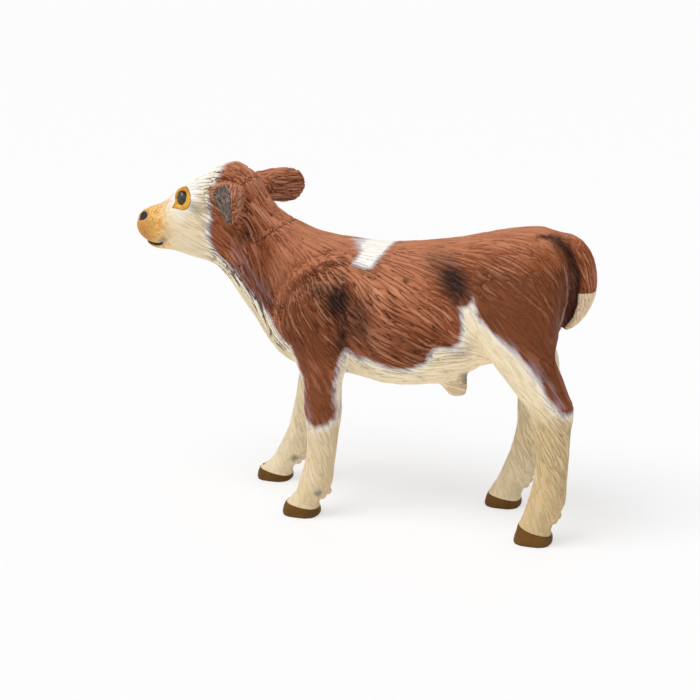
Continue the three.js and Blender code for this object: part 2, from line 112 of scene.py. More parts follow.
class Paint:
    """A material under construction"""

    def __init__(self, name):
        self.material = bpy.data.materials.new(name)
        self.material.use_nodes = True
        self.tree = self.material.node_tree
        self.skin = self.tree.nodes["Principled BSDF"]

    def add(self, kind, **settings):
        """A new node of this kind"""
        node = self.tree.nodes.new("ShaderNode" + kind)
        for key, value in settings.items():
            setattr(node, key, value)
        return node

    def put(self, socket, value):
        """Sets a socket to a number or colour, or links it to another socket"""
        if isinstance(value, bpy.types.NodeSocket):
            self.tree.links.new(value, socket)
        else:
            socket.default_value = value

    def finish(self, **sockets):
        """Sets the sockets of the surface, such as roughness=0.5"""
        for key, value in sockets.items():
            self.put(self.skin.inputs[key.replace("_", " ").title().replace("Ior", "IOR")], value)

    def layer(self, name):
        """A layer of numbers on the points of the mesh"""
        return self.add("Attribute", attribute_name=name).outputs["Fac"]

    def calc(self, kind, a, b=0.0, c=0.0):
        """A Math node of this kind"""
        node = self.add("Math", operation=kind)
        for socket, value in zip(node.inputs, (a, b, c)):
            self.put(socket, value)
        return node.outputs[0]

    def times(self, a, b):
        return self.calc("MULTIPLY", a, b)

    def plus(self, a, b):
        return self.calc("ADD", a, b)

    def swing(self, noise, amount):
        """Noise stretched so that it swings this far to both sides of zero"""
        return self.calc("MULTIPLY_ADD", noise, 2 * amount, -amount)

    def mask(self, value, low, high):
        """0 where the value is at low, 1 where it is at high, and a soft ramp between"""
        if low > high:
            return self.calc("SUBTRACT", 1.0, self.mask(value, high, low))
        node = self.add("MapRange", interpolation_type="SMOOTHSTEP")
        for key, one in (("Value", value), ("From Min", low), ("From Max", high)):
            self.put(node.inputs[key], one)
        return node.outputs["Result"]

    def noise(self, vector, scale, detail):
        """Noise, 0 to 1 round a middle of 0.5, over a vector that is scaled first"""
        mapping = self.add("Mapping")
        self.put(mapping.inputs["Vector"], vector)
        mapping.inputs["Scale"].default_value = scale
        noise = self.add("TexNoise")
        self.put(noise.inputs["Vector"], mapping.outputs["Vector"])
        noise.inputs["Scale"].default_value = 1
        noise.inputs["Detail"].default_value = detail
        return noise.outputs["Fac"]

    def clouds(self, size, detail=2.0):
        """Noise with spots of about this size, in metres"""
        return self.noise(self.add("TexCoord").outputs["Object"], (1 / size,) * 3, detail)

    def hairs(self, length, width):
        """Noise drawn out along the hair, in millimetres"""
        comb = self.add("Attribute", attribute_name="comb").outputs["Vector"]
        return self.noise(comb, (1 / length, 1 / width, 1 / width), 1.0)

    def coats(self, colour, *coats):
        """A colour with coats over it, each one a colour, its mask, and its strength if not 1"""
        for above, mask, *strength in coats:
            node = self.add("Mix", data_type="RGBA")
            self.put(node.inputs["Factor"], self.times(mask, strength[0]) if strength else mask)
            self.put(node.inputs[6], colour)
            self.put(node.inputs[7], above)
            colour = node.outputs[2]
        return colour


# %% [markdown]
# A pale table and soft light. A sun lamp with a very wide disc is the simplest large soft box: it
# lights the table evenly as far as one can see, and its shadows have soft edges. The world fills
# the rest, so that the belly and the inner sides of the legs stay readable. To the camera alone the
# table glows a little, which keeps it white and its shadow faint, and puts no light on the calf.

# %% Floor and light
floor_half = 8.0
table_glow = 0.6  # how much of the table the camera sees as plain white
bpy.ops.mesh.primitive_plane_add(size=2 * floor_half, location=(0, 0, 0))
floor = bpy.context.object
floor.name = "floor"
table = Paint("pale_table")
table.finish(base_color=srgb(250, 249, 250), roughness=0.6, specular_ior_level=0.2)
seen = table.times(table.add("LightPath").outputs["Is Camera Ray"], table_glow)
blend = table.add("MixShader")
white = table.add("Emission").outputs[0]
for socket, value in zip(blend.inputs, (seen, table.skin.outputs[0], white)):
    table.put(socket, value)
table.put(table.tree.nodes["Material Output"].inputs["Surface"], blend.outputs[0])
floor.data.materials.append(table.material)

world = bpy.context.scene.world or bpy.data.worlds.new("soft_room")
bpy.context.scene.world = world
world.use_nodes = True
sky_strength = 0.52
sky = world.node_tree.nodes["Background"]
sky.inputs["Color"].default_value = (1, 1, 1, 1)
ray = world.node_tree.nodes.new("ShaderNodeLightPath")
sky_level = world.node_tree.nodes.new("ShaderNodeMapRange")
sky_level.inputs["To Min"].default_value = sky_strength
sky_level.inputs["To Max"].default_value = 1
world.node_tree.links.new(ray.outputs["Is Camera Ray"], sky_level.inputs["Value"])
world.node_tree.links.new(sky_level.outputs["Result"], sky.inputs["Strength"])

lamp_azimuth, lamp_elevation, lamp_disc = -35, 62, 40
bpy.ops.object.light_add(type="SUN", location=(0, 0, 1))
lamp = bpy.context.object
lamp.name = "soft_box"
lamp.data.energy = 1.85
lamp.data.angle = math.radians(lamp_disc)
lamp.rotation_mode = "QUATERNION"
lamp.rotation_quaternion = direction(lamp_azimuth, lamp_elevation).to_track_quat("Z", "Y")
bpy.context.scene.view_settings.view_transform = "Standard"
print("lamp strength", lamp.data.energy, "and sky strength", sky_strength)

# %% [markdown]
# Small helpers for work with modifiers and in edit mode. The first one leaves one piece alone
# selected, because an operator acts on everything that is selected.

# %% Helpers for modifiers and meshes
def only(piece):
    """Selects this piece alone and makes it the active one"""
    bpy.ops.object.select_all(action="DESELECT")
    piece.select_set(True)
    bpy.context.view_layer.objects.active = piece


def finish_with(piece, kind, **settings):
    """Adds a modifier with these settings and applies it"""
    only(piece)
    modifier = piece.modifiers.new(kind.lower(), kind)
    for key, value in settings.items():
        setattr(modifier, key, value)
    bpy.ops.object.modifier_apply(modifier=modifier.name)


def edit_all(piece, operator, **settings):
    """Runs an edit mode operator on the whole mesh of a piece"""
    only(piece)
    bpy.ops.object.mode_set(mode="EDIT")
    bpy.ops.mesh.select_all(action="SELECT")
    operator(**settings)
    bpy.ops.object.mode_set(mode="OBJECT")


def rows_of(data, key):
    """Three numbers for each item of mesh data, one row each"""
    flat = np.empty(len(data) * 3, np.float32)
    data.foreach_get(key, flat)
    return flat.reshape(-1, 3).astype(float)


def places(mesh):
    """The vertices of a mesh, in metres"""
    return rows_of(mesh.vertices, "co")


def skin_of(piece):
    """The points of a piece and their normals"""
    return places(piece.data), rows_of(piece.data.vertex_normals, "vector")


def side_view(points):
    """Millimetres back along the calf, out from its middle, and up"""
    return points[:, 0] / mm, np.abs(points[:, 1]) / mm, points[:, 2] / mm


def move_to(mesh, points):
    """Moves the vertices of a mesh to these points"""
    mesh.vertices.foreach_set("co", points.astype(np.float32).ravel())
    mesh.update()


# %% [markdown]
# Each casting starts as a copy of its CAD solid. The CAD mesh is loose triangles, so the copy's
# doubles are merged first. A voxel remesh then gives it an even skin of small quads, fine enough
# to carve hair into. The surfaces that the glue seam is first measured against are taken before the
# remesh, and stay as they are.

# %% Copies of the castings
def copy_of(node, name):
    """A copy of a CAD solid with its corners merged"""
    piece = bpy.data.objects.new(name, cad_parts[node].data.copy())
    bpy.context.scene.collection.objects.link(piece)
    piece.data.materials.clear()
    edit_all(piece, bpy.ops.mesh.remove_doubles, threshold=0.001 * mm)
    return piece


def surface_of(piece):
    """The surface of a piece, to measure distances to"""
    bpy.context.view_layer.update()
    return BVHTree.FromObject(piece, bpy.context.evaluated_depsgraph_get())


body_voxel = 0.2 * mm
insert_voxel = 0.16 * mm
body = copy_of("body_casting", "calf_body")
insert = copy_of("ear_insert", "calf_ears_and_nape")
body_solid = surface_of(body)
insert_solid = surface_of(insert)
finish_with(body, "REMESH", mode="VOXEL", voxel_size=body_voxel)
finish_with(insert, "REMESH", mode="VOXEL", voxel_size=insert_voxel)
print("skins:", len(body.data.vertices), "and", len(insert.data.vertices), "points")

# %% [markdown]
# The skin still shows the facets of the CAD solid. The Smooth modifier takes them away, weighted
# by a vertex group: full strength on the trunk, neck and legs, little on the ears, which are thin,
# on the hooves, whose edges are crisp, and on the lips of the glue seam. The lips are then drawn
# together, because glue fills the gap on the real figure, and only a fine line is left to paint.

# %% Smooth the skins
def step(low, high, values):
    """0 below low, 1 above high, and a soft ramp between them"""
    t = np.clip((values - low) / (high - low), 0, 1)
    return t * t * (3 - 2 * t)


def weigh(piece, weights, levels=10):
    """A vertex group with these weights, in a few levels"""
    group = piece.vertex_groups.new(name="softness")
    level = np.round(np.clip(weights, 0, 1) * levels).astype(int)
    for one in range(1, levels + 1):
        group.add(np.flatnonzero(level == one).tolist(), one / levels, "REPLACE")
    return group.name


seam_middle = np.array((-19, 0, 60)) * mm
seam_span = 18 * mm
seam_reach = 1.2 * mm
lip_inner, lip_outer = 0.35 * mm, 0.9 * mm
lip_overlap = 0.1 * mm
smooth_rounds = 34


def lips(piece, other):
    """1 at the glue seam and 0 away from it, and the step that brings its lips together"""
    points = places(piece.data)
    near = np.zeros(len(points))
    pull = np.zeros((len(points), 3))
    for i in np.flatnonzero(np.linalg.norm(points - seam_middle, axis=1) < seam_span):
        spot, _, _, gap = other.find_nearest(Vector(points[i]), seam_reach)
        if spot is not None and gap > 0:
            near[i] = 1 - step(lip_inner, lip_outer, gap)
            pull[i] = (np.array(spot) - points[i]) * near[i] * (gap + lip_overlap) / 2 / gap
    return near, pull


points = places(body.data)
softness = 0.3 + 0.7 * step(2.8 * mm, 4.2 * mm, points[:, 2])
softness *= 1 - 0.85 * lips(body, insert_solid)[0]
weighed = weigh(body, softness)
finish_with(body, "SMOOTH", factor=0.5, iterations=smooth_rounds, vertex_group=weighed)
points = places(insert.data)
softness = 1 - 0.6 * step(6 * mm, 7.5 * mm, abs(points[:, 1]))
softness *= 1 - 0.85 * lips(insert, body_solid)[0]
weighed = weigh(insert, softness)
finish_with(insert, "SMOOTH", factor=0.5, iterations=smooth_rounds, vertex_group=weighed)

body_seam, body_pull = lips(body, surface_of(insert))
insert_seam, insert_pull = lips(insert, surface_of(body))
move_to(body.data, places(body.data) + body_pull)
move_to(insert.data, places(insert.data) + insert_pull)
print("seam points:", [int((seam > 0.5).sum()) for seam in (body_seam, insert_seam)])

# %% [markdown]
# Now the small forms. A modeller pushes the clay out or in with a thumb: each row here is one
# such push, given by its place on the calf's left side, how far it reaches along, across and up,
# and how far the skin moves. Each push is made on both sides of the calf, so one on the middle line
# is made twice.

# %% Push the small forms
pushes = [
    # x, y, z, reach along, reach across, reach up, push, all in millimetres
    (-34.0, -4.9, 66.3, 2.4, 2.2, 1.5, 0.5),  # brow
    (-31.5, 0, 68.4, 3.6, 5.0, 3.0, 0.36),  # forehead
    (-35.5, 0, 65.4, 2.2, 4.5, 2.0, 0.22),  # between the eyes
    (-43.0, 0, 61.6, 3.2, 4.5, 2.8, -0.4),  # bridge of the nose
    (-32.3, -6.8, 59.6, 3.0, 2.4, 2.0, -0.3),  # hollow behind the eye
    (-38.5, -5.2, 58.0, 3.4, 2.0, 1.6, 0.25),  # cheek bone
    (-30.3, -6.4, 53.6, 3.4, 2.6, 3.0, 0.4),  # jaw
    (-45.0, -3.4, 55.0, 2.6, 2.0, 2.0, 0.3),  # upper lip
    (-43.5, -2.2, 50.9, 2.4, 2.4, 1.2, 0.6),  # chin
    (-44.8, -2.0, 52.0, 1.8, 2.2, 1.4, 0.3),  # lower lip
    (-25.5, -4.5, 48.5, 4.0, 3.0, 2.4, 0.35),  # throat
    (-14.5, -9.0, 44.5, 3.2, 3.0, 5.0, -0.7),  # hollow before the shoulder
    (-8.0, -10.0, 46.0, 3.0, 3.0, 5.5, 0.35),  # front edge of the shoulder blade
    (3.6, -12.0, 41.5, 2.4, 3.0, 5.5, -0.8),  # hollow behind the elbow
    (23.6, -11.5, 49.5, 3.6, 3.0, 4.2, -0.8),  # flank
    (27.8, -8.5, 57.0, 3.6, 3.0, 2.4, 0.5),  # hip bone
    (28.6, -11.5, 43.0, 1.8, 3.0, 4.0, 0.4),  # fold before the thigh
    (-7.0, -9.6, 13.0, 1.2, 3.0, 3.0, -0.15),  # cannon
    (44.8, -9.6, 27.4, 1.6, 2.4, 1.8, 0.4),  # point of the hock
    (19.8, 0, 26.4, 1.3, 2.0, 1.2, 0.25),  # tip of the sheath
    (24.4, -2.0, 30.0, 1.2, 2.2, 2.4, -0.4),  # fold behind the sheath
    (28.0, 0, 31.0, 2.6, 5.0, 3.0, -0.75),  # belly line in front of the thighs
]


def push(points, normals, rows):
    """Moves points along their normals, by each row's push on both sides of the calf"""
    amount = np.zeros(len(points))
    for x, y, z, along, across, up, far in rows:
        for side in (-1, 1):
            off = (points / mm - (x, -side * y, z)) / (along, across, up)
            amount += far * mm * np.exp(-(off ** 2).sum(1))
    return points + normals * amount[:, None]


far_legs = [
    # from x, to x, how far the far leg stands ahead, height it swings from, all in millimetres
    (-60, 6, 13.7, 53), (14, 60, 11.2, 57.5),
]


def unswung(points):
    """Points with the far legs moved back to stand beside the near ones"""
    moved = points.copy()
    for start, end, lead, height in far_legs:
        legs = (points[:, 1] > 0) & (points[:, 0] > start * mm) & (points[:, 0] < end * mm)
        up = np.clip(points[legs, 2] / (height * mm), 0, 1)
        low = 1 - step(26 * mm, 36 * mm, points[legs, 2])
        moved[legs, 0] += low * (lead * mm) * (1 - up ** 1.2)
    return moved


points, normals = skin_of(body)
shifts = push(unswung(points), normals, pushes) - unswung(points)
move_to(body.data, points + shifts)
print("pushed", len(pushes), "forms, at most", round(np.abs(shifts).max() / mm, 2), "mm")

# %% [markdown]
# Longer forms are drawn as lines in the side view: the groove between the tail and the rump, and
# the ridges of the shoulder blade. The skin near a line is pulled in or pushed out, between two
# distances from the middle of the calf, so that the line doesn't also cut what lies behind it.

# %% Grooves and ridges
tail_groove = [
    (37.8, 58.7), (39.4, 58.6), (40.8, 58.0), (42.7, 56.2), (43.8, 54.0),
    (44.6, 51.6), (44.8, 49.0), (44.3, 45.7), (43.0, 42.3),
]
blade_ridge = [
    (-13.4, 39.5), (-13.6, 41.8), (-12.2, 45.4), (-9.8, 48.3), (-6.5, 50.7), (-3.0, 52.3),
    (-0.3, 53.2),
]
blade_front = [(x - 1.3, z + 0.9) for x, z in blade_ridge]
arm_groove = [(-2.6, 47.5), (0.2, 43.0), (1.4, 38.5), (1.2, 34.5)]
long_forms = [
    # line, half width, push, least and most distance from the middle, all in millimetres
    (tail_groove, 0.65, -0.6, 1.0, 6.5),
    (blade_ridge, 1.2, 0.5, 4.0, 14.0),
    (blade_front, 0.9, -0.35, 4.0, 14.0),
    (arm_groove, 1.5, -0.35, 6.0, 14.0),
]


def line_distance(x, z, line):
    """Distance in the side view to a drawn line, all in millimetres"""
    nearest = np.full(len(x), 1e9)
    for (ax, az), (bx, bz) in zip(line, line[1:]):
        run = (bx - ax) ** 2 + (bz - az) ** 2
        t = np.clip(((x - ax) * (bx - ax) + (z - az) * (bz - az)) / run, 0, 1)
        nearest = np.minimum(nearest, np.hypot(x - ax - t * (bx - ax), z - az - t * (bz - az)))
    return nearest


points, normals = skin_of(body)
x, side, z = side_view(points)
for line, half, far, least, most in long_forms:
    level = step(least - 0.8, least, side) * (1 - step(most, most + 0.8, side))
    amount = far * mm * level * np.exp(-(line_distance(x, z, line) / half) ** 2)
    points += normals * amount[:, None]
move_to(body.data, points)
print("long forms:", len(long_forms))

# %% [markdown]
# The eyes sit in sockets with raised lids. A socket is described in the plane of the eye: u runs
# back along the head, v up, and w out of the head. The lids are a low ring wall, pushed up around
# an oval, and the floor inside it sinks, to take the eye that is made later.

# %% Eye sockets
eye_points = {-1: Vector((-35.6, -5.9, 62.3)) * mm, 1: Vector((-35.6, 5.9, 62.3)) * mm}
eye_half_width = 1.25 * mm
eye_half_height = 1.5 * mm
head_smooth = surface_of(body)


def eye_frame(side):
    """The middle of an eye on the skin, and its three directions u, v and w"""
    place, normal, _, _ = head_smooth.find_nearest(eye_points[side])
    out = (normal + Vector((-0.05, 0.25 * side, 0))).normalized()
    rear = (Vector((1, 0, 0.12)) - out * out.x).normalized()
    up = Vector(out).cross(rear) * side
    if up.z < 0:
        up = -up
    return place, rear, up.normalized(), out


eye_frames = {side: eye_frame(side) for side in (-1, 1)}


def in_eye_frame(points, side):
    """Places of points by an eye, as u, v and w, and how many times the eye's size they lie out"""
    place, *axes = eye_frames[side]
    off = points - np.array(place)
    u, v, w = (off @ np.array(axis) for axis in axes)
    return u, v, w, np.hypot(u / eye_half_width, v / eye_half_height)


points = places(body.data)
for side in (-1, 1):
    u, v, w, ring = in_eye_frame(points, side)
    near = (np.abs(w) < 3 * mm) & (ring < 3)
    wall = 0.3 * mm * np.exp(-((ring - 1.22) / 0.24) ** 2)
    sunk = 0.75 * mm * (1 - step(0.75, 1.05, ring))
    points += np.array(eye_frames[side][3]) * ((wall - sunk) * near)[:, None]
move_to(body.data, points)
print("eyes at", [tuple(round(c / mm, 1) for c in eye_frames[s][0]) for s in (-1, 1)])

# %% [markdown]
# The mouth is a fine carved line that curls up a little at its corner. It is cut by pulling the
# skin in near a drawn line, in the side view. The nostril is an oval pit with a low rim.

# %% Mouth and nostrils
mouth_line = [
    (-47.8, 54.2), (-46.6, 53.25), (-45.4, 52.55), (-44.4, 52.05),
    (-43.4, 51.8), (-42.5, 51.85), (-41.8, 52.1), (-41.4, 52.35),
]
mouth_half_width = 0.3
mouth_depth = 0.45


def nostril_ring(points):
    """1 on the rim of the nearer nostril, less inside it and more outside"""
    x, side, z = side_view(points)
    return np.sqrt(((x + 45.8) / 1.5) ** 2 + ((z - 57.6) / 1.0) ** 2 + ((side - 3.15) / 1.6) ** 2)


points, normals = skin_of(body)
x, _, z = side_view(points)
mouth = np.exp(-(line_distance(x, z, mouth_line) / mouth_half_width) ** 2)
ring = nostril_ring(points)
pit = 0.14 * np.exp(-((ring - 1.3) / 0.22) ** 2) - 0.55 * (1 - step(0.6, 1.05, ring))
move_to(body.data, points + normals * ((pit - mouth_depth * mouth) * mm)[:, None])
print("mouth line moved", int((mouth > 0.5).sum()), "points")

# %% [markdown]
# The coat. On the real figure the hair is carved into the mould, as long narrow strokes that
# follow the lie of the hair. Here it starts as a combing chart: how the hair lies at places on the
# side of the calf, how deep it is carved there and how long the strokes are. Between these places
# the chart is blended, and the far side uses it too.

# %% Combing chart
combing = [
    # x, z, lie in degrees (0 straight back, -90 straight down), depth, length, all in millimetres
    (-46, 56, 10, 0.00, 1.5), (-41, 61, 25, 0.03, 1.8), (-42, 54, -10, 0.02, 1.5),
    (-36, 66, 25, 0.14, 2.4), (-31, 68.5, 18, 0.22, 2.8), (-26, 69, -25, 0.18, 2.4),
    (-37, 58, -20, 0.02, 2.0), (-33, 55, -35, 0.04, 2.4), (-31, 62, -4, 0.2, 2.8),
    (-32, 51.5, -22, 0.08, 3.0), (-27, 57, -50, 0.14, 3.2), (-28, 51.5, -36, 0.12, 3.2),
    (-24, 49, -42, 0.22, 3.6), (-20, 45, -54, 0.24, 3.8), (-15, 40, -58, 0.24, 3.8),
    (-16, 47, -64, 0.12, 3.6), (-18, 52, -66, 0.14, 3.4), (-22, 54, -60, 0.19, 3.0),
    (-24, 66, -40, 0.14, 2.6), (-20, 61, -48, 0.24, 3.2), (-14, 58, -36, 0.22, 3.4),
    (-9, 55.5, -36, 0.08, 3.2), (-12, 50, -58, 0.07, 3.4), (-8, 46, -54, 0.15, 3.0),
    (-3, 49.5, -50, 0.24, 3.0), (1, 45, -52, 0.24, 3.2), (-6, 40, -50, 0.15, 3.0),
    (-5, 33, -50, 0.1, 2.6), (-4, 27, -60, 0.08, 2.4), (-3, 20, -66, 0.1, 2.2),
    (-3, 12, -64, 0.09, 2.0), (-6, 6, -70, 0.05, 1.6), (2, 54, -24, 0.07, 2.6),
    (8, 50, -28, 0.19, 3.2), (12, 44, -32, 0.22, 3.4), (6, 39, -42, 0.16, 3.0),
    (14, 38, -36, 0.22, 3.4), (20, 43, -36, 0.2, 3.2), (17, 53.5, -16, 0.11, 3.0),
    (25, 57, -10, 0.1, 2.8), (22, 50, -24, 0.16, 3.0), (12, 34, -24, 0.17, 3.0),
    (8, 31, -14, 0.18, 3.2), (15, 30, -6, 0.18, 3.2), (22, 34, 2, 0.15, 3.0),
    (20, 27, -30, 0.1, 2.4), (27, 50, -34, 0.14, 3.0), (30, 55.5, -16, 0.12, 3.0),
    (33, 51, -28, 0.12, 3.2), (36, 58, -8, 0.1, 2.8), (41, 56, -38, 0.12, 2.6),
    (36, 46, -36, 0.07, 3.2), (42, 48, -58, 0.08, 3.0), (44, 42, -72, 0.07, 3.0),
    (38, 40, -42, 0.06, 2.8), (32, 40, -48, 0.06, 2.6), (28, 44, -60, 0.09, 2.4),
    (36, 34, -50, 0.09, 2.4), (42, 33, -56, 0.1, 2.4), (43, 27, -58, 0.12, 2.4),
    (40, 20, -58, 0.14, 2.4), (40, 12, -56, 0.13, 2.2), (40, 6, -70, 0.05, 1.6),
    (46.5, 55, -62, 0.2, 3.4), (48, 50, -88, 0.2, 3.4), (46.5, 44, -112, 0.16, 3.0),
]
chart_reach = 3.4
chart_low = np.array([-52.0, -3.0])
chart_shape = (105, 78)
rows = np.array(combing, float)
grid = np.moveaxis(np.indices(chart_shape), 0, -1) + chart_low
square = ((grid[:, :, None] - rows[:, :2]) ** 2).sum(-1)
share = np.exp(-square / (2 * chart_reach ** 2)) + 1e-5 / (1 + square)
share /= share.sum(-1, keepdims=True)
lie = np.radians(rows[:, 2])
flow = np.stack([share @ np.cos(lie), share @ np.sin(lie)], -1)
flow /= np.linalg.norm(flow, axis=-1, keepdims=True)
print("combing chart from", len(combing), "places")

# %% [markdown]
# Carving needs to know, for every point, how far it lies along the hair and how far across it.
# These are two maps over the side view, like the length and width lines on a globe. One map has to
# rise by 1 mm for each millimetre along the hair, and to stay level across it; the other one
# the opposite. No pair of maps can do that exactly for a coat that swirls, so the best fit is
# found: a least squares problem, solved with conjugate gradients.

# %% Maps along and across the hair
def slopes(field):
    """The slopes of a map in the middle of each cell"""
    a, b, c, d = field[:-1, :-1], field[1:, :-1], field[:-1, 1:], field[1:, 1:]
    return np.stack([(b + d - a - c) / 2, (c + d - a - b) / 2], -1)


def spread(cells):
    """The transpose of slopes, which hands cell values back to the corners"""
    x, z = cells[..., 0] / 2, cells[..., 1] / 2
    field = np.zeros(chart_shape)
    field[:-1, :-1] -= x + z
    field[1:, :-1] += x - z
    field[:-1, 1:] += z - x
    field[1:, 1:] += x + z
    return field


def fit_map(rising, level, stiffness):
    """The map that rises by 1 along one direction and stays level along the other"""
    def weighed(cells):
        up = (cells * rising).sum(-1, keepdims=True) * rising
        flat = (cells * level).sum(-1, keepdims=True) * level
        return up + stiffness * flat

    field = np.zeros(chart_shape)
    left = spread(rising)
    way = left.copy()
    size = (left ** 2).sum()
    for _ in range(600):
        pushed = spread(weighed(slopes(way)))
        length = size / (way * pushed).sum()
        field += length * way
        left -= length * pushed
        new_size = (left ** 2).sum()
        if new_size < 1e-10:
            break
        way = left + new_size / size * way
        size = new_size
    return field


cell_flow = (flow[:-1, :-1] + flow[1:, :-1] + flow[:-1, 1:] + flow[1:, 1:]) / 4
cell_flow /= np.linalg.norm(cell_flow, axis=-1, keepdims=True)
cell_across = np.stack([-cell_flow[..., 1], cell_flow[..., 0]], -1)
along_map = fit_map(cell_flow, cell_across, 1)
across_map = fit_map(cell_across, cell_flow, 30)
chart = np.stack([along_map, across_map, share @ rows[:, 3], share @ rows[:, 4]], -1)
turned = np.abs((slopes(across_map) * cell_flow).sum(-1))
print("the maps miss the lie by", round(float(np.degrees(turned.mean())), 1), "degrees on average")


def read_chart(points):
    """The chart's values at points, blended between its squares"""
    at = points[:, [0, 2]] / mm - chart_low
    at = np.clip(at, 0, np.array(chart_shape) - 1.001)
    cell = at.astype(int)
    fx, fz = (at - cell).T[:, :, None]
    i, k = cell.T
    low = chart[i, k] * (1 - fz) + chart[i, k + 1] * fz
    high = chart[i + 1, k] * (1 - fz) + chart[i + 1, k + 1] * fz
    return low * (1 - fx) + high * fx


# %% [markdown]
# With the maps, each point gets three numbers: how far it lies along the hair, across it, and
# sideways. The ears have a lie of their own, out along the ear. Their numbers start from those of
# the poll at the root of the ear, so that the strokes run on from one into the other.

# %% Comb places
ear_root = np.array([-24.5, 6.4, 63.6]) * mm
ear_out = np.array([0.4, 0.91, -0.12])
ear_out /= np.linalg.norm(ear_out)
ear_up = np.array([0, 0, 1.0]) - ear_out * ear_out[2]
ear_up /= np.linalg.norm(ear_up)
ear_back = np.cross(ear_out, ear_up)


def mirror_of(points):
    """Factors that turn the left side of the calf into the right one"""
    return np.where(points[:, 1:2] < 0, (1, -1, 1), (1, 1, 1))


def ear_share_of(points):
    """0 on the nape, 1 on the ears, and a ramp at their roots"""
    return step(6.2 * mm, 8.4 * mm, np.abs(points[:, 1]))


def comb_places(points, ears):
    """Along, across and sideways places of points in the coat, all in millimetres"""
    values = read_chart(unswung(points))
    comb = np.stack([values[:, 0], values[:, 1], points[:, 1] / mm], 1)
    root = read_chart(ear_root[None])[0]
    off = (points * mirror_of(points) - ear_root) / mm
    on_ear = np.stack([root[0] + off @ ear_out, root[1] + off @ ear_up, 6.4 - off @ ear_back], 1)
    on_ear[:, 2] *= np.where(points[:, 1] < 0, -1, 1)
    return comb * (1 - ears[:, None]) + on_ear * ears[:, None]


# %% [markdown]
# The hair itself starts as grain: random numbers that fill space, in cells smaller than a
# stroke is wide. Each point of the skin takes the mean of the grain along a short line that lies
# with the hair, as when a comb is drawn through sand. Out come streaks that follow the chart. Their
# sign is dropped, so that wherever they cross zero there is a sharp groove, with a rounded lock of
# hair on either side. Because the grain fills space, the locks run over the glue seam without a
# break. Coarser grain under it makes some tufts stand higher than others.

# %% Grain and strokes
draw = np.random.default_rng(11)
grain_margin = 6 * mm


class Grain:
    """Random values from -1 to 1 in a box of cells, blended between them"""

    def __init__(self, cell):
        self.cell = cell
        self.low = np.array(cad_box[0]) - grain_margin
        count = np.ceil((np.array(cad_box[1]) + grain_margin - self.low) / cell).astype(int) + 2
        self.values = (2 * draw.random(count) - 1).astype(np.float32)

    def __call__(self, points):
        at = (points - self.low) / self.cell
        cell = at.astype(np.int32)
        f = (at - cell).astype(np.float32)
        f = f * f * (3 - 2 * f)
        i, j, k = cell.T
        total = np.zeros(len(points), np.float32)
        for corner in np.ndindex(2, 2, 2):
            di, dj, dk = corner
            fi, fj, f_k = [f[:, n] if up else 1 - f[:, n] for n, up in enumerate(corner)]
            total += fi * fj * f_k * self.values[i + di, j + dj, k + dk]
        return total


stroke_grain = Grain(0.4 * mm)
tuft_grain = Grain(1.4 * mm)
drift_grain = Grain(4.4 * mm)
drift = math.radians(14)
stroke_share = 1.4  # how far a smear reaches, in stroke lengths
lock_height, tuft_height = 0.8, 0.12
coat_depth, ear_depth = 1.35, 0.26  # the first in chart depths, the second in millimetres
skin_level = 0.62  # the hair height that leaves the skin where it is
middle_height = 0.55


def lie_of_hair(points, normals, ears):
    """The direction of the hair at points on the skin, flat against the skin"""
    at = (unswung(points)[:, [0, 2]] / mm - chart_low).astype(int)
    i, k = np.clip(at, 0, np.array(chart_shape) - 2).T
    turn = drift_grain(points) * drift
    cosine, sine = np.cos(turn), np.sin(turn)
    x, z = cell_flow[i, k].T
    lie = np.stack([x * cosine - z * sine, np.zeros(len(x)), x * sine + z * cosine], 1)
    lie = lie * (1 - ears[:, None]) + ear_out * mirror_of(points) * ears[:, None]
    lie -= normals * (lie * normals).sum(1)[:, None]
    return lie / (np.linalg.norm(lie, axis=1)[:, None] + 1e-6)


def strokes(points, reach, grain, stops):
    """The grain smeared along each point's reach, with a mean of 0 and a spread of 1"""
    total = np.zeros(len(points))
    for stop in range(-stops, stops + 1):
        weight = math.cos(stop / (stops + 1) * math.pi / 2) ** 2
        total += weight * grain(points + reach * (stop / stops))
    return (total - total.mean()) / total.std()


def carve(piece, ears, calm):
    """Cuts the hair into the skin of a piece, and returns its points, their heights and strokes"""
    points, normals = skin_of(piece)
    values = read_chart(unswung(points))
    lie = lie_of_hair(points, normals, ears)
    reach = lie * (stroke_share * values[:, 3] * mm)[:, None]
    streak = strokes(points, reach, stroke_grain, 13)
    locks = np.tanh(1.2 * np.abs(streak))
    tufts = strokes(points, 1.3 * reach, tuft_grain, 6)
    height = np.clip(lock_height * locks + 0.1 + tuft_height * tufts, 0, 1)
    depth = coat_depth * values[:, 2] * (1 - ears) + ear_depth * ears
    rise = (height - skin_level) * 2.0 * depth * mm * calm
    move_to(piece.data, points + normals * rise[:, None])
    shown = np.clip(values[:, 2] / 0.18, 0.25, 1) * (1 - ears) + ears
    return points, np.stack([middle_height + (height - middle_height) * shown, streak], 1)


def eye_calm(points):
    """0 round the eyes, where no hair is carved, and 1 elsewhere"""
    calm = np.ones(len(points))
    for side in (-1, 1):
        _, _, w, ring = in_eye_frame(points, side)
        calm *= np.where(np.abs(w) < 3 * mm, step(1.6, 2.2, ring), 1)
    return calm


points = places(body.data)
hoof_calm = step(2.9 * mm, 4.5 * mm, points[:, 2])
body_before, body_strokes = carve(body, np.zeros(len(points)), hoof_calm * eye_calm(points))
points = places(insert.data)
insert_before, insert_strokes = carve(insert, ear_share_of(points), np.ones(len(points)))
print("hair carved, mean height", round(float(body_strokes[:, 0].mean()), 2))

# %% [markdown]
# So many small quads are more than the figure needs. Decimate keeps the triangles where the
# relief bends and spends few of them on flat parts, which suits narrow strokes.

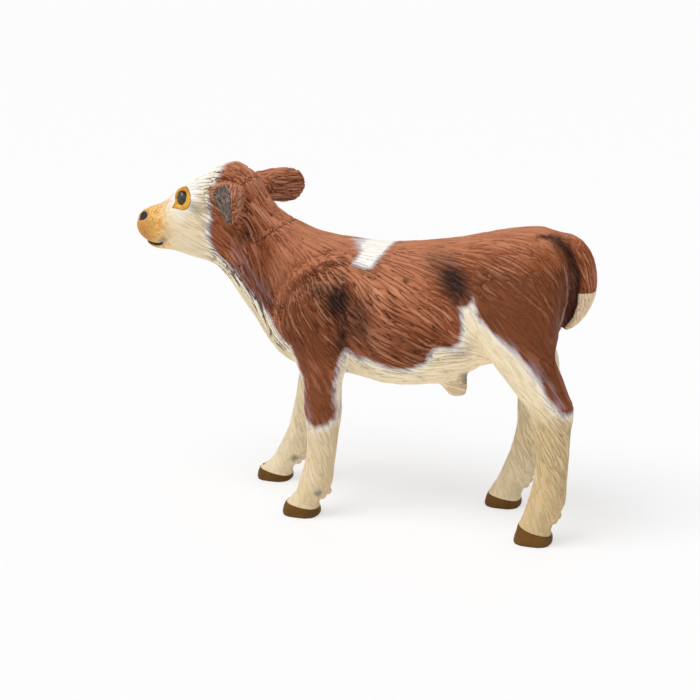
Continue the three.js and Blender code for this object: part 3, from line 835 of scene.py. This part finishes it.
# %% Thin the meshes
def thin(piece, triangles):
    """Brings a piece down to about this many triangles"""
    finish_with(piece, "TRIANGULATE")
    share = triangles / len(piece.data.polygons)
    if share < 1:
        finish_with(piece, "DECIMATE", ratio=share)
    piece.vertex_groups.clear()
    print(piece.name, len(piece.data.polygons), "triangles")


def keep_largest(piece):
    """Deletes loose crumbs that the remesh may have left"""
    edit_all(piece, bpy.ops.mesh.separate, type="LOOSE")
    parts = [piece, *[o for o in bpy.context.selected_objects if o is not piece]]
    parts.sort(key=lambda o: -len(o.data.polygons))
    name, largest = piece.name, parts[0]
    for crumb in parts[1:]:
        bpy.data.objects.remove(crumb)
    largest.name = name
    return largest


body_triangles, insert_triangles = 197000, 70000
thin(body, body_triangles)
thin(insert, insert_triangles)
body = keep_largest(body)
insert = keep_largest(insert)


def carried(piece, before, values):
    """The values for the points that are left, each taken from the nearest point before"""
    tree = kdtree.KDTree(len(before))
    for i, point in enumerate(before):
        tree.insert(point, i)
    tree.balance()
    return values[[tree.find(v.co)[1] for v in piece.data.vertices]]


body_hair = carried(body, body_before, body_strokes)
insert_hair = carried(insert, insert_before, insert_strokes)
for piece in (body, insert):
    only(piece)
    bpy.ops.object.shade_smooth()

# %% [markdown]
# The paint is kept as layers of numbers on the points of the mesh, one layer for each colour's
# mask. Where a mask has a border, the layer holds the distance to that border in millimetres, so
# that the shader can draw the edge finer than the mesh is. These outlines are drawn in the side
# view, and serve for both sides of the calf.

# %% Outlines of the markings
coat_outline = [
    (-26.3, 69.6), (-27.5, 68.8), (-27.6, 68.0), (-27.6, 66.5), (-28.3, 65.1), (-28.5, 63.2),
    (-29.0, 62.4), (-28.8, 61.0), (-28.6, 59.0), (-28.9, 56.3), (-28.9, 53.9), (-28.5, 52.1),
    (-27.4, 51.0), (-25.5, 49.9), (-23.9, 48.7), (-22.3, 47.2), (-20.9, 45.4), (-19.3, 43.8),
    (-17.4, 42.3), (-15.7, 40.9), (-14.4, 38.8), (-12.6, 36.0), (-9.6, 35.6), (-9.0, 33.6),
    (-8.0, 31.1), (-7.1, 29.4), (-7.2, 26.3), (-7.2, 23.2), (-7.6, 22.0), (-6.7, 20.7),
    (-4.7, 19.5), (-3.1, 19.9), (-1.5, 21.2), (-1.1, 23.0), (-1.4, 25.4), (-1.4, 27.8),
    (-0.8, 30.1), (0.1, 33.7), (1.0, 35.7), (1.7, 35.3), (3.5, 34.5), (6.5, 33.9), (9.1, 33.0),
    (11.7, 32.7), (14.4, 32.7), (17.1, 34.4), (18.2, 35.9), (19.0, 37.3), (20.3, 38.1),
    (22.5, 37.7), (23.8, 38.6), (24.6, 41.4), (24.4, 44.3), (23.9, 45.6), (25.8, 46.3),
    (26.4, 47.0), (27.0, 48.6), (27.6, 46.8), (28.5, 44.3), (30.0, 43.0), (32.1, 41.5),
    (34.1, 40.0), (36.4, 38.5), (38.0, 36.4), (39.5, 34.5), (41.1, 32.7), (42.1, 30.4),
    (43.0, 28.9), (44.6, 27.3), (45.8, 26.9), (60, 26.5), (60, 80), (-26, 80),
]
saddle_outline = [
    (-3.0, 58), (-1.5, 55.3), (0.1, 54.8), (1.5, 54.2), (2.0, 53.4), (1.3, 52.4), (1.4, 51.6),
    (3.0, 51.1), (5.1, 51.0), (6.2, 51.6), (7.0, 52.8), (7.5, 53.9), (7.8, 54.9), (8.0, 58),
]
shoulder_outline = [
    *blade_ridge, (1.5, 50.0), (2.5, 46.0), (2.0, 40.0), (0.0, 34.0), (-6.0, 32.0), (-11.5, 36.0),
]
tail_tip_outline = [
    (44.9, 48.1), (52, 48.3), (52, 36), (42, 36), (42.3, 41.0), (44.0, 43.3), (44.9, 46.0),
]
seam_outline = [
    (-19.4, 54.2), (-22.3, 57.5), (-24.7, 59.8), (-26.1, 62.0), (-26.1, 64.2), (-24.9, 65.6),
    (-23.1, 65.6), (-20.0, 70.0), (-5.0, 64.5),
]
hooves = [
    # middle along and across, length, paint height at the middle, rise from heel to toe
    (-8.7, -9.6, 7.6, 2.4, 0.65), (-22.4, 9.6, 7.6, 2.1, 0.85),
    (39.3, -9.6, 7.5, 3.0, 1.1), (28.1, 9.6, 7.5, 2.3, 0.7),
]


def inside(x, z, outline):
    """Millimetres to an outline in the side view, above zero inside it"""
    crossings = np.zeros(len(x), bool)
    for (ax, az), (bx, bz) in zip(outline, outline[1:] + outline[:1]):
        level = (az > z) != (bz > z)
        crossings ^= level & (x < (bx - ax) * (z - az) / ((bz - az) or 1e-9) + ax)
    away = line_distance(x, z, outline + outline[:1])
    return np.where(crossings, away, -away)


def blobs(x, z, rows):
    """Soft airbrushed spots: x, z, half length, half height, turn in degrees, strength"""
    total = np.zeros(len(x))
    for bx, bz, long, high, turn, strength in rows:
        a = math.radians(turn)
        u = ((x - bx) * math.cos(a) + (z - bz) * math.sin(a)) / long
        v = ((z - bz) * math.cos(a) - (x - bx) * math.sin(a)) / high
        total = np.maximum(total, strength * (1 - step(0.25, 1.45, np.hypot(u, v))))
    return total


# %% [markdown]
# Soft spots of paint are listed as a painter would dot them on. The dark spots are painted shade
# over airbrushed darks, in the hollows behind the shoulder and on the flank. The deep brown on the
# arm and thigh is partly the paint's tone and partly painted shade. The light brown spots are
# painted highlights where the back and ribs face the lamp. The grey spots and the haze are thin
# greys on the cream and brown; some grey spots are painted shade in hollows, behind the eye and
# behind the sheath.

# %% Spots and lines of paint
# painted shade over airbrushed darks, mostly in the hollows behind and before the shoulder and on
# the flank
dark_spots = [
    # x, z, half length, half height, turn in degrees, strength
    (-0.2, 45.0, 3.0, 3.9, 12, 1.0), (-3.4, 46.2, 4.4, 1.8, -30, 0.55),
    (3.8, 41.2, 3.6, 5.4, 0, 0.7), (0.9, 37.0, 1.6, 3.6, 0, 0.75), (22.8, 50.0, 5.2, 3.0, -52, 1.0),
    (20.0, 52.6, 4.4, 2.6, -30, 0.5), (-16.4, 44.2, 1.8, 4.2, 16, 0.6),
    (-21.5, 55.6, 1.6, 2.6, -60, 0.35),
]
# deeper brown on the arm, trunk, thigh, neck, legs and tail, partly the paint's own tone and partly
# painted shade
deep_spots = [
    (-5.5, 43.0, 8.0, 8.0, 0, 0.75), (-5.0, 34.0, 6.0, 8.0, 20, 0.65),
    (15.0, 37.0, 12.0, 5.0, -4, 0.75), (34.5, 45.5, 12.0, 9.5, -25, 1.0),
    (-4.0, 25.0, 4.5, 8.0, 0, 0.75), (-23.5, 54.0, 3.6, 5.0, -20, 0.3),
    (42.5, 34.0, 4.0, 9.0, 30, 0.9), (-20.0, 47.5, 3.4, 5.4, 40, 0.55),
    (46.0, 52.0, 2.4, 5.5, 12, 0.25),
]
# painted highlights on the back, ribs, shoulder, neck, near ear and tail
highlight_spots = [
    (9.5, 49.0, 8.0, 5.0, -6, 0.8), (-13.6, 51.0, 2.4, 6.5, -16, 0.6),
    (-17.0, 59.5, 5.5, 2.6, -36, 0.5), (17.0, 44.0, 4.0, 3.0, -20, 0.3),
    (-20.8, 66.4, 2.2, 2.4, 0, 0.7), (-12.0, 47.5, 2.6, 6.5, -16, 0.35),
    (7.0, 41.0, 8.0, 4.0, -20, 0.25), (48.6, 50.5, 1.6, 4.0, 0, 0.4),
]
# thin grey paint, and painted shade in the hollows behind the eye and behind the sheath
grey_and_shade_spots = [
    (-33.1, 60.9, 2.6, 1.0, -44, 0.55), (-40.7, 53.2, 1.6, 0.7, 20, 0.8),
    (-39.6, 54.9, 1.8, 1.2, 30, 0.3), (24.5, 37.0, 2.4, 1.4, 30, 0.5),
    (23.2, 29.6, 1.0, 2.3, -20, 0.9), (-4.2, 5.6, 0.8, 0.9, 0, 0.9), (44.6, 3.9, 0.6, 1.0, 0, 0.8),
    (-5.0, 14.0, 1.0, 5.0, 20, 0.15),
]
haze_spots = [
    (36.4, 38.6, 2.6, 1.0, -48, 0.3), (39.3, 35.0, 3.0, 1.3, -50, 0.45),
    (41.6, 31.4, 3.0, 1.5, -52, 0.6), (43.8, 28.6, 1.8, 1.3, 0, 0.6),
    (-20.5, 48.0, 6.5, 2.4, -50, 0.4), (-6.2, 22.0, 1.0, 2.4, 0, 0.4),
    (43.2, 47.0, 1.2, 7.0, -8, 0.12),
]
inked_spots = [(9, 32, 9, 2.2, -14, 0.2), (22, 35, 5, 3, 10, 0.16)]
worn_lines = [
    [(42.3, 54.6), (42.9, 51.9), (43.0, 49.0), (42.7, 45.8), (42.0, 42.8), (41.2, 40.4)],
    [(-6.6, 29.2), (-5.9, 26.9), (-7.1, 24.5)],
]
ring_outline = [
    (-1.4, 1.0), (-1.05, 1.85), (-0.5, 2.35), (0.1, 2.5), (0.8, 2.25), (1.5, 1.6), (2.05, 0.75),
    (2.3, -0.2), (2.2, -1.1), (1.75, -1.9), (1.1, -2.4), (0.4, -2.6), (-0.3, -2.45), (-1.0, -2.1),
    (-1.8, -1.95), (-2.95, -2.0), (-2.15, -1.2), (-1.65, -0.4), (-1.5, 0.3),
]


# %% [markdown]
# Each layer says where one paint lies, as numbers for the points of the skin. The face runs from
# white on the brow to cream on the cheek and to honey on the muzzle. The inner sides of the legs
# are left cream, and so are the lower legs of the far side.

# %% Paint layers
def coat_layers(x, z, true_x, side, far_side):
    """The brown coat with what is cut out of it, and the white and inked places beside it"""
    saddle = inside(true_x, z, saddle_outline)
    tip = np.where(side < 3.4, inside(true_x, z, tail_tip_outline), -9)
    inner = side - np.interp(z, [18, 28, 34, 38], [7.6, 7.2, 5.0, -9])
    coat = np.minimum.reduce([inside(x, z, coat_outline), -saddle, 0.3 - tip, inner])
    coat = np.where(far_side, np.minimum(coat, z - np.where(x < 14, 31, 34)), coat)
    milk = step(-30.5, -34, x - 0.45 * (z - 62)) * step(56, 63, z)
    throat = step(8.0, 3.0, -coat) * step(-33, -27, x) * (z > 33) * (x < -9)
    inked = np.maximum(throat, blobs(x, z, inked_spots))
    milk = np.maximum(milk, step(-1.5, 1, saddle))
    return {"coat": coat, "tip": tip, "milk": milk, "inked": np.clip(inked, 0, 1)}


def face_layers(points, x, z):
    """The honey of the muzzle, the rings round the eyes, and the slate of mouth and nostrils"""
    nose = np.hypot(x + 48.5, (z - 56.2) * 0.85)
    lip = (1 - step(4.0, 8.0, nose)) * (1 - step(55.0, 60.5, z))
    ring = np.full(len(points), -9.0)
    for one in (-1, 1):
        u, v, w, _ = in_eye_frame(points, one)
        drawn = inside(u / mm, v / mm, ring_outline)
        ring = np.where(np.abs(w) < 3 * mm, np.maximum(ring, drawn), ring)
    slate = mouth_half_width - line_distance(x, z, mouth_line)
    slate = np.maximum(slate, (1 - nostril_ring(points)) * 1.2)
    return {"honey": 1 - step(4.0, 14.5, nose), "lip": lip, "ring": ring, "slate": slate}


def hoof_layer(points, true_x, z):
    """Millimetres below the upper edge of a hoof, which rises from heel to toe"""
    horn = np.full(len(points), -9.0)
    for hx, hy, length, high, rise in hooves:
        top = high + rise * np.clip((hx - true_x) / (length / 2), -1, 1)
        close = (np.abs(true_x - hx) < 7) & (np.abs(points[:, 1] / mm - hy) < 7)
        horn = np.where(close, top - z, horn)
    return horn


def shade_layers(x, z, side, far_side, upward):
    """Painted highlights on the brown, its dark and deep browns, partly painted shade, the shades
    of the cream with painted light under the belly, and the greys
    """
    # painted shade in the groove between the tail and the rump
    tail_groove_shade = np.exp(-(line_distance(x, z, tail_groove) / (0.25 + 0.65 * step(37.5, 42.5, x))) ** 2)
    # painted highlight: lighter brown on faces that look up, and on the highlight spots
    top = np.maximum(step(np.where(x > 24, 0.6, 0.3), 0.95, upward), blobs(x, z, highlight_spots))
    # deeper brown on the shoulder and thigh, partly the paint's tone and partly painted shade
    shoulder = 0.9 * step(-0.4, 0.9, inside(x, z, shoulder_outline))
    thigh = 0.95 * step(54.6, 52.0, z) * step(24, 29, x) * (1 - step(43, 45, x))
    return {
        "dark": np.maximum(blobs(x, z, dark_spots), 0.95 * tail_groove_shade * (1 - step(5.5, 7, side))),
        "deep": np.maximum.reduce([blobs(x, z, deep_spots), shoulder, thigh]),
        "top": top,
        "shank": (1 - step(20, 34, z)) * np.where(x > 14, 1, 0.45) * np.where(far_side, 0.2, 1),
        # painted light: lighter cream on faces that look down, under the belly
        "belly": step(0.3, -0.5, upward) * step(24, 28, z) * (x > -12),
        "grey_and_shade": blobs(x, z, grey_and_shade_spots),
        "haze": blobs(x, z, haze_spots),
    }


def paint_layers(points, normals, hair):
    """All paint layers for points on the skin, by name"""
    stood = unswung(points)
    x, side, z = side_view(stood)
    true_x, far_side = points[:, 0] / mm, points[:, 1] > 0
    worn = line_distance(x, z, worn_lines[0]) + 3 * step(4.4, 5.6, side)
    only_lower = 1 + 40 * step(57, 59, z) * (true_x < -17)
    return {
        **coat_layers(x, z, true_x, side, far_side),
        **face_layers(points, x, z),
        **shade_layers(x, z, side, far_side, normals[:, 2]),
        "horn": hoof_layer(points, true_x, z),
        "worn": np.minimum(worn, line_distance(x, z, worn_lines[1])),
        "seam": inside(true_x, z, seam_outline) * only_lower,
        "hair": hair[:, 0],
        "lock": hair[:, 1],
        "relief": np.clip(read_chart(stood)[:, 2] / 0.2, 0, 1),
    }


def lay(piece, layers, comb):
    """Writes layers of numbers, and the comb places, onto the points of a piece"""
    for name, values in layers.items():
        layer = piece.data.attributes.new(name, "FLOAT", "POINT")
        layer.data.foreach_set("value", values.astype(np.float32))
    layer = piece.data.attributes.new("comb", "FLOAT_VECTOR", "POINT")
    layer.data.foreach_set("vector", comb.astype(np.float32).ravel())


points, normals = skin_of(body)
layers = paint_layers(points, normals, body_hair)
lay(body, layers, comb_places(points, np.zeros(len(points))))

points, normals = skin_of(insert)
layers = paint_layers(points, normals, insert_hair)
ear_share = ear_share_of(points)
ear_front = step(0.0, 0.35, -(normals * mirror_of(points)) @ ear_back)
layers["felt"] = step(7.4 * mm, 8.2 * mm, np.abs(points[:, 1])) * ear_front
layers["coat"] = np.maximum(layers["coat"], 9 * ear_share)
layers["relief"] = np.maximum(layers["relief"], ear_share)
# painted highlight on the near ear
layers["top"] = np.maximum(layers["top"], 0.8 * ear_share * (points[:, 1] < 0))
lay(insert, layers, comb_places(points, ear_share))
print("paint layers:", sorted(layers))

# %% [markdown]
# A few things recur in all the colours of the coat: the grooves and crests of the hair, streaks
# that run along it, cloudy mottling and fine specks. The layer `lock` is the streak with its sign:
# it is zero in the sharp groove between two locks, so that the shader can draw the groove finer
# than the mesh is, and far below zero on the crests of every other lock.

# %% Masks of the hair
def start_coat(name):
    """A paint with the masks and noises that all colours of the coat share"""
    paint = Paint(name)
    mask, layer, times, plus = paint.mask, paint.layer, paint.times, paint.plus
    hair, lock = layer("hair"), layer("lock")
    paint.beside = paint.calc("ABSOLUTE", lock)
    paint.gash = mask(paint.beside, 0.42, 0.05)
    # crest: the cores of the locks, painted as highlights and raised in the bump
    paint.crest = mask(lock, -0.8, -1.5)
    paint.shown = paint.calc("MULTIPLY_ADD", layer("relief"), 0.9, 0.1)
    broken = mask(paint.hairs(3.0, 0.9), 0.34, 0.6)
    # groove: darker in the grooves of the hair, partly a wash and partly painted shade
    groove = plus(times(mask(hair, 0.4, 0.12), 0.3), times(paint.gash, 0.75))
    paint.groove = times(times(groove, paint.shown), broken)
    # ridge: lighter on the ridges and crests, painted highlights over some dry brushing
    ridge = plus(times(mask(hair, 0.62, 0.95), 0.25), times(paint.crest, 0.3))
    paint.ridge = times(ridge, paint.shown)
    paint.streak = paint.hairs(4.5, 0.9)
    paint.mottle = paint.clouds(3.2 * mm)
    paint.speck = paint.clouds(0.3 * mm, 3)
    paint.blotch = paint.clouds(1.1 * mm, 3)
    return paint


# %% [markdown]
# The brown is dry brushed; the ridges of the hair are light and the grooves dark, partly from that
# and partly as painted highlights and painted shade. Faces that look up get a painted highlight,
# and the sides a deeper brown that is partly painted shade. The cream under it turns white on the
# brow, and honey, with blotches and specks, on the muzzle; under the belly it gets painted light.

# %% Brown, cream and honey
def brown_of(paint):
    """Red brown, with everything that lies on it"""
    mask, layer = paint.mask, paint.layer
    return paint.coats(
        srgb(150, 82, 46),
        (srgb(158, 88, 52), mask(paint.mottle, 0.35, 0.65)),
        # deeper brown, partly the paint's tone and partly painted shade
        (srgb(116, 60, 26), layer("deep")),
        # painted highlight on the faces that look up and on the highlight spots
        (srgb(190, 122, 86), layer("top")),
        # dark in the grooves: partly a wash, partly painted shade
        (srgb(58, 27, 12), paint.groove, 0.85),
        # light on the ridges: painted highlights over dry brushing
        (srgb(236, 176, 142), paint.ridge, 0.6),
        # painted shade in the hollows and the tail groove, over airbrushed darks
        (srgb(38, 16, 4), layer("dark"), 0.94),
        (srgb(156, 138, 152), layer("haze"), mask(paint.streak, 0.62, 0.42)),
        (srgb(206, 178, 170), mask(layer("worn"), 0.14, 0.03), 0.6),
    )


def honey_of(paint):
    """The honey of the muzzle, with its blotches"""
    mask = paint.mask
    return paint.coats(
        srgb(246, 200, 114),
        (srgb(214, 154, 68), mask(paint.blotch, 0.46, 0.6)),
        # darker honey low on the muzzle and at the lips, partly paint and partly painted shade
        (srgb(190, 128, 50), paint.layer("lip"), 0.85),
        (srgb(150, 100, 44), mask(paint.blotch, 0.43, 0.34), 0.6),
    )


def cream_of(paint):
    """Cream, with the white and the honey laid on it"""
    mask, layer, times = paint.mask, paint.layer, paint.times
    milk = layer("milk")
    spread = paint.plus(layer("honey"), paint.swing(paint.blotch, 0.25))
    return paint.coats(
        srgb(236, 216, 178),
        (srgb(242, 226, 192), mask(paint.mottle, 0.3, 0.7)),
        (srgb(206, 178, 130), layer("shank"), 0.9),
        # painted light under the belly
        (srgb(255, 236, 198), layer("belly"), 0.9),
        # painted shade in the grooves, partly a wash
        (srgb(176, 144, 98), paint.groove, 0.5),
        # painted highlight on the ridges
        (srgb(253, 243, 220), paint.ridge, 0.65),
        (srgb(253, 250, 244), milk, 0.9),
        # painted shade in the grooves of the white
        (srgb(206, 192, 170), times(milk, paint.groove), 0.4),
        (honey_of(paint), mask(spread, 0.0, 0.95), 0.96),
        # grey spots, partly painted shade in hollows
        (srgb(120, 116, 114), layer("grey_and_shade"), mask(paint.mottle, 0.1, 0.6)),
    )


# %% [markdown]
# The edge of the brown is airbrushed: a soft band where brown, a greyish violet and the white
# ground run into each other, streaked along the hair. Dark wash stays in the grooves beside it and
# on the throat.

# %% The edge of the coat
def edged(paint, cream, brown):
    """Brown laid on cream with an airbrushed edge"""
    mask, times = paint.mask, paint.times
    edge = paint.plus(paint.layer("coat"), paint.swing(paint.streak, 0.65))
    edge = paint.plus(edge, paint.swing(paint.speck, 0.15))
    inked = times(paint.layer("inked"), mask(paint.beside, 0.7, 0.2))
    return paint.coats(
        cream,
        (srgb(246, 243, 240), mask(edge, -2.2, -0.8), 0.45),
        (srgb(172, 158, 168), mask(edge, -1.0, -0.2), 0.75),
        (srgb(84, 66, 70), times(mask(edge, -1.6, -0.4), paint.groove), 0.8),
        (srgb(70, 56, 52), inked, 0.85),
        (brown, mask(edge, -0.45, 0.3)),
    )


# %% [markdown]
# Then come the small marks: the tail's pale tip, the glue line, the gold rings round the eyes with
# their darker rims, slate in the mouth and nostrils, brown hooves, and felt grey in the ears.

# %% Small marks
def marked(paint, colour):
    """A colour with the small marks laid on it"""
    mask, layer = paint.mask, paint.layer
    # the pale tip of the tail, with painted shade in its grooves
    pale = paint.coats(srgb(242, 216, 180), (srgb(178, 144, 102), paint.groove, 0.6))
    seam = mask(paint.calc("ABSOLUTE", layer("seam")), 0.1, 0.03)
    rim = paint.plus(layer("ring"), paint.swing(paint.speck, 0.15))
    gold = paint.coats(srgb(246, 186, 64), (srgb(216, 146, 42), mask(paint.mottle, 0.4, 0.6)))
    gold = paint.coats(srgb(150, 96, 40), (gold, mask(rim, 0.0, 0.3)))
    horn = paint.coats(srgb(94, 62, 14), (srgb(110, 74, 24), mask(paint.mottle, 0.35, 0.65)))
    return paint.coats(
        colour,
        (pale, mask(layer("tip"), -0.1, 0.2)),
        (srgb(52, 28, 20), seam, 0.85),
        (gold, mask(rim, -0.06, 0.06)),
        (srgb(48, 46, 54), mask(layer("slate"), -0.05, 0.05)),
        (horn, mask(layer("horn"), -0.05, 0.05)),
    )


def felted(paint, colour):
    """A colour with the felt of the ears laid on it"""
    mask = paint.mask
    down = paint.hairs(9.0, 0.4)
    felt = paint.coats(
        srgb(112, 90, 82),
        (srgb(66, 52, 46), mask(down, 0.52, 0.38)),
        (srgb(152, 134, 126), mask(down, 0.56, 0.7), 0.6),
    )
    return paint.coats(colour, (felt, mask(paint.layer("felt"), 0.35, 0.7)))


# %% [markdown]
# The finish is satin, a little rougher in the grooves. A shallow bump sharpens the grooves and
# crests that the mesh already has, and gives the muzzle its grain. Hooves and muzzle have no hair.

# %% Finish of the paint
bump_height = 0.1 * mm


def coat_paint(name, with_felt):
    """The whole paint of a casting"""
    paint = start_coat(name)
    colour = marked(paint, edged(paint, cream_of(paint), brown_of(paint)))
    if with_felt:
        colour = felted(paint, colour)
    mask, times, calc = paint.mask, paint.times, paint.calc
    rough = calc("MULTIPLY_ADD", paint.speck, 0.16, 0.42)
    rough = calc("MULTIPLY_ADD", paint.groove, 0.15, rough)
    honey = paint.layer("honey")
    haired = times(mask(paint.layer("horn"), 0.0, -0.1), mask(honey, 0.9, 0.3))
    relief = calc("MULTIPLY_ADD", paint.crest, 0.5, calc("SUBTRACT", 1.0, paint.gash))
    relief = times(relief, times(haired, paint.plus(paint.shown, 0.15)))
    relief = calc("MULTIPLY_ADD", times(paint.blotch, honey), 0.8, relief)
    bump = paint.add("Bump")
    bump.inputs["Strength"].default_value = 1.0
    bump.inputs["Distance"].default_value = bump_height
    paint.put(bump.inputs["Height"], relief)
    paint.finish(
        base_color=colour, roughness=rough, specular_ior_level=0.22, normal=bump.outputs["Normal"]
    )
    print(name, "takes", len(paint.tree.nodes), "nodes")
    return paint.material


body.data.materials.append(coat_paint("painted_body", with_felt=False))
insert.data.materials.append(coat_paint("painted_ears", with_felt=True))

# %% [markdown]
# The eyes are glossy drops of dark paint in their sockets. Each starts as a ball, is cut off
# behind, drawn narrower at the top, squashed to a lens, and turned to lie in its socket.

# %% Eyes
eye_depth = 1.0 * mm
eye_sunk = 0.45 * mm


def eye(side, name):
    """One eye, in its socket on this side"""
    place, rear, up, out = eye_frames[side]
    bpy.ops.mesh.primitive_uv_sphere_add(segments=64, ring_count=32, radius=1)
    piece = bpy.context.object
    piece.name = name
    cut = {"plane_co": (0, 0, -0.3), "plane_no": (0, 0, 1), "use_fill": True, "clear_inner": True}
    edit_all(piece, bpy.ops.mesh.bisect, **cut)
    ball = places(piece.data)
    ball[:, 0] -= ball[:, 1] * (0.32 * ball[:, 0] + 0.16)
    move_to(piece.data, ball)
    axes = rear * eye_half_width * 1.05, up * eye_half_height * 1.05, out * eye_depth
    turn = Matrix(axes).transposed().to_4x4()
    piece.data.transform(Matrix.Translation(place - out * eye_sunk) @ turn)
    edit_all(piece, bpy.ops.mesh.normals_make_consistent, inside=False)
    bpy.ops.object.shade_smooth()
    return piece


eye_gloss = Paint("eye_gloss")
mottle = eye_gloss.clouds(0.9 * mm)
cloudy = (srgb(72, 66, 70), eye_gloss.mask(mottle, 0.4, 0.62))
eye_colour = eye_gloss.coats(srgb(44, 38, 40), cloudy)
eye_gloss.finish(base_color=eye_colour, roughness=0.16)
eyes = {-1: eye(-1, "eye_left"), 1: eye(1, "eye_right")}
for one in eyes.values():
    one.data.materials.append(eye_gloss.material)
print("eyes:", [len(one.data.polygons) for one in eyes.values()], "faces")

# %% [markdown]
# At last the CAD castings are hidden, and each piece is hung on the body it rides on.

# %% Put the pieces on the frame
for piece in (body, *eyes.values()):
    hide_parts("body_casting")
    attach(piece, "root")
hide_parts("ear_insert")
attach(insert, "root")
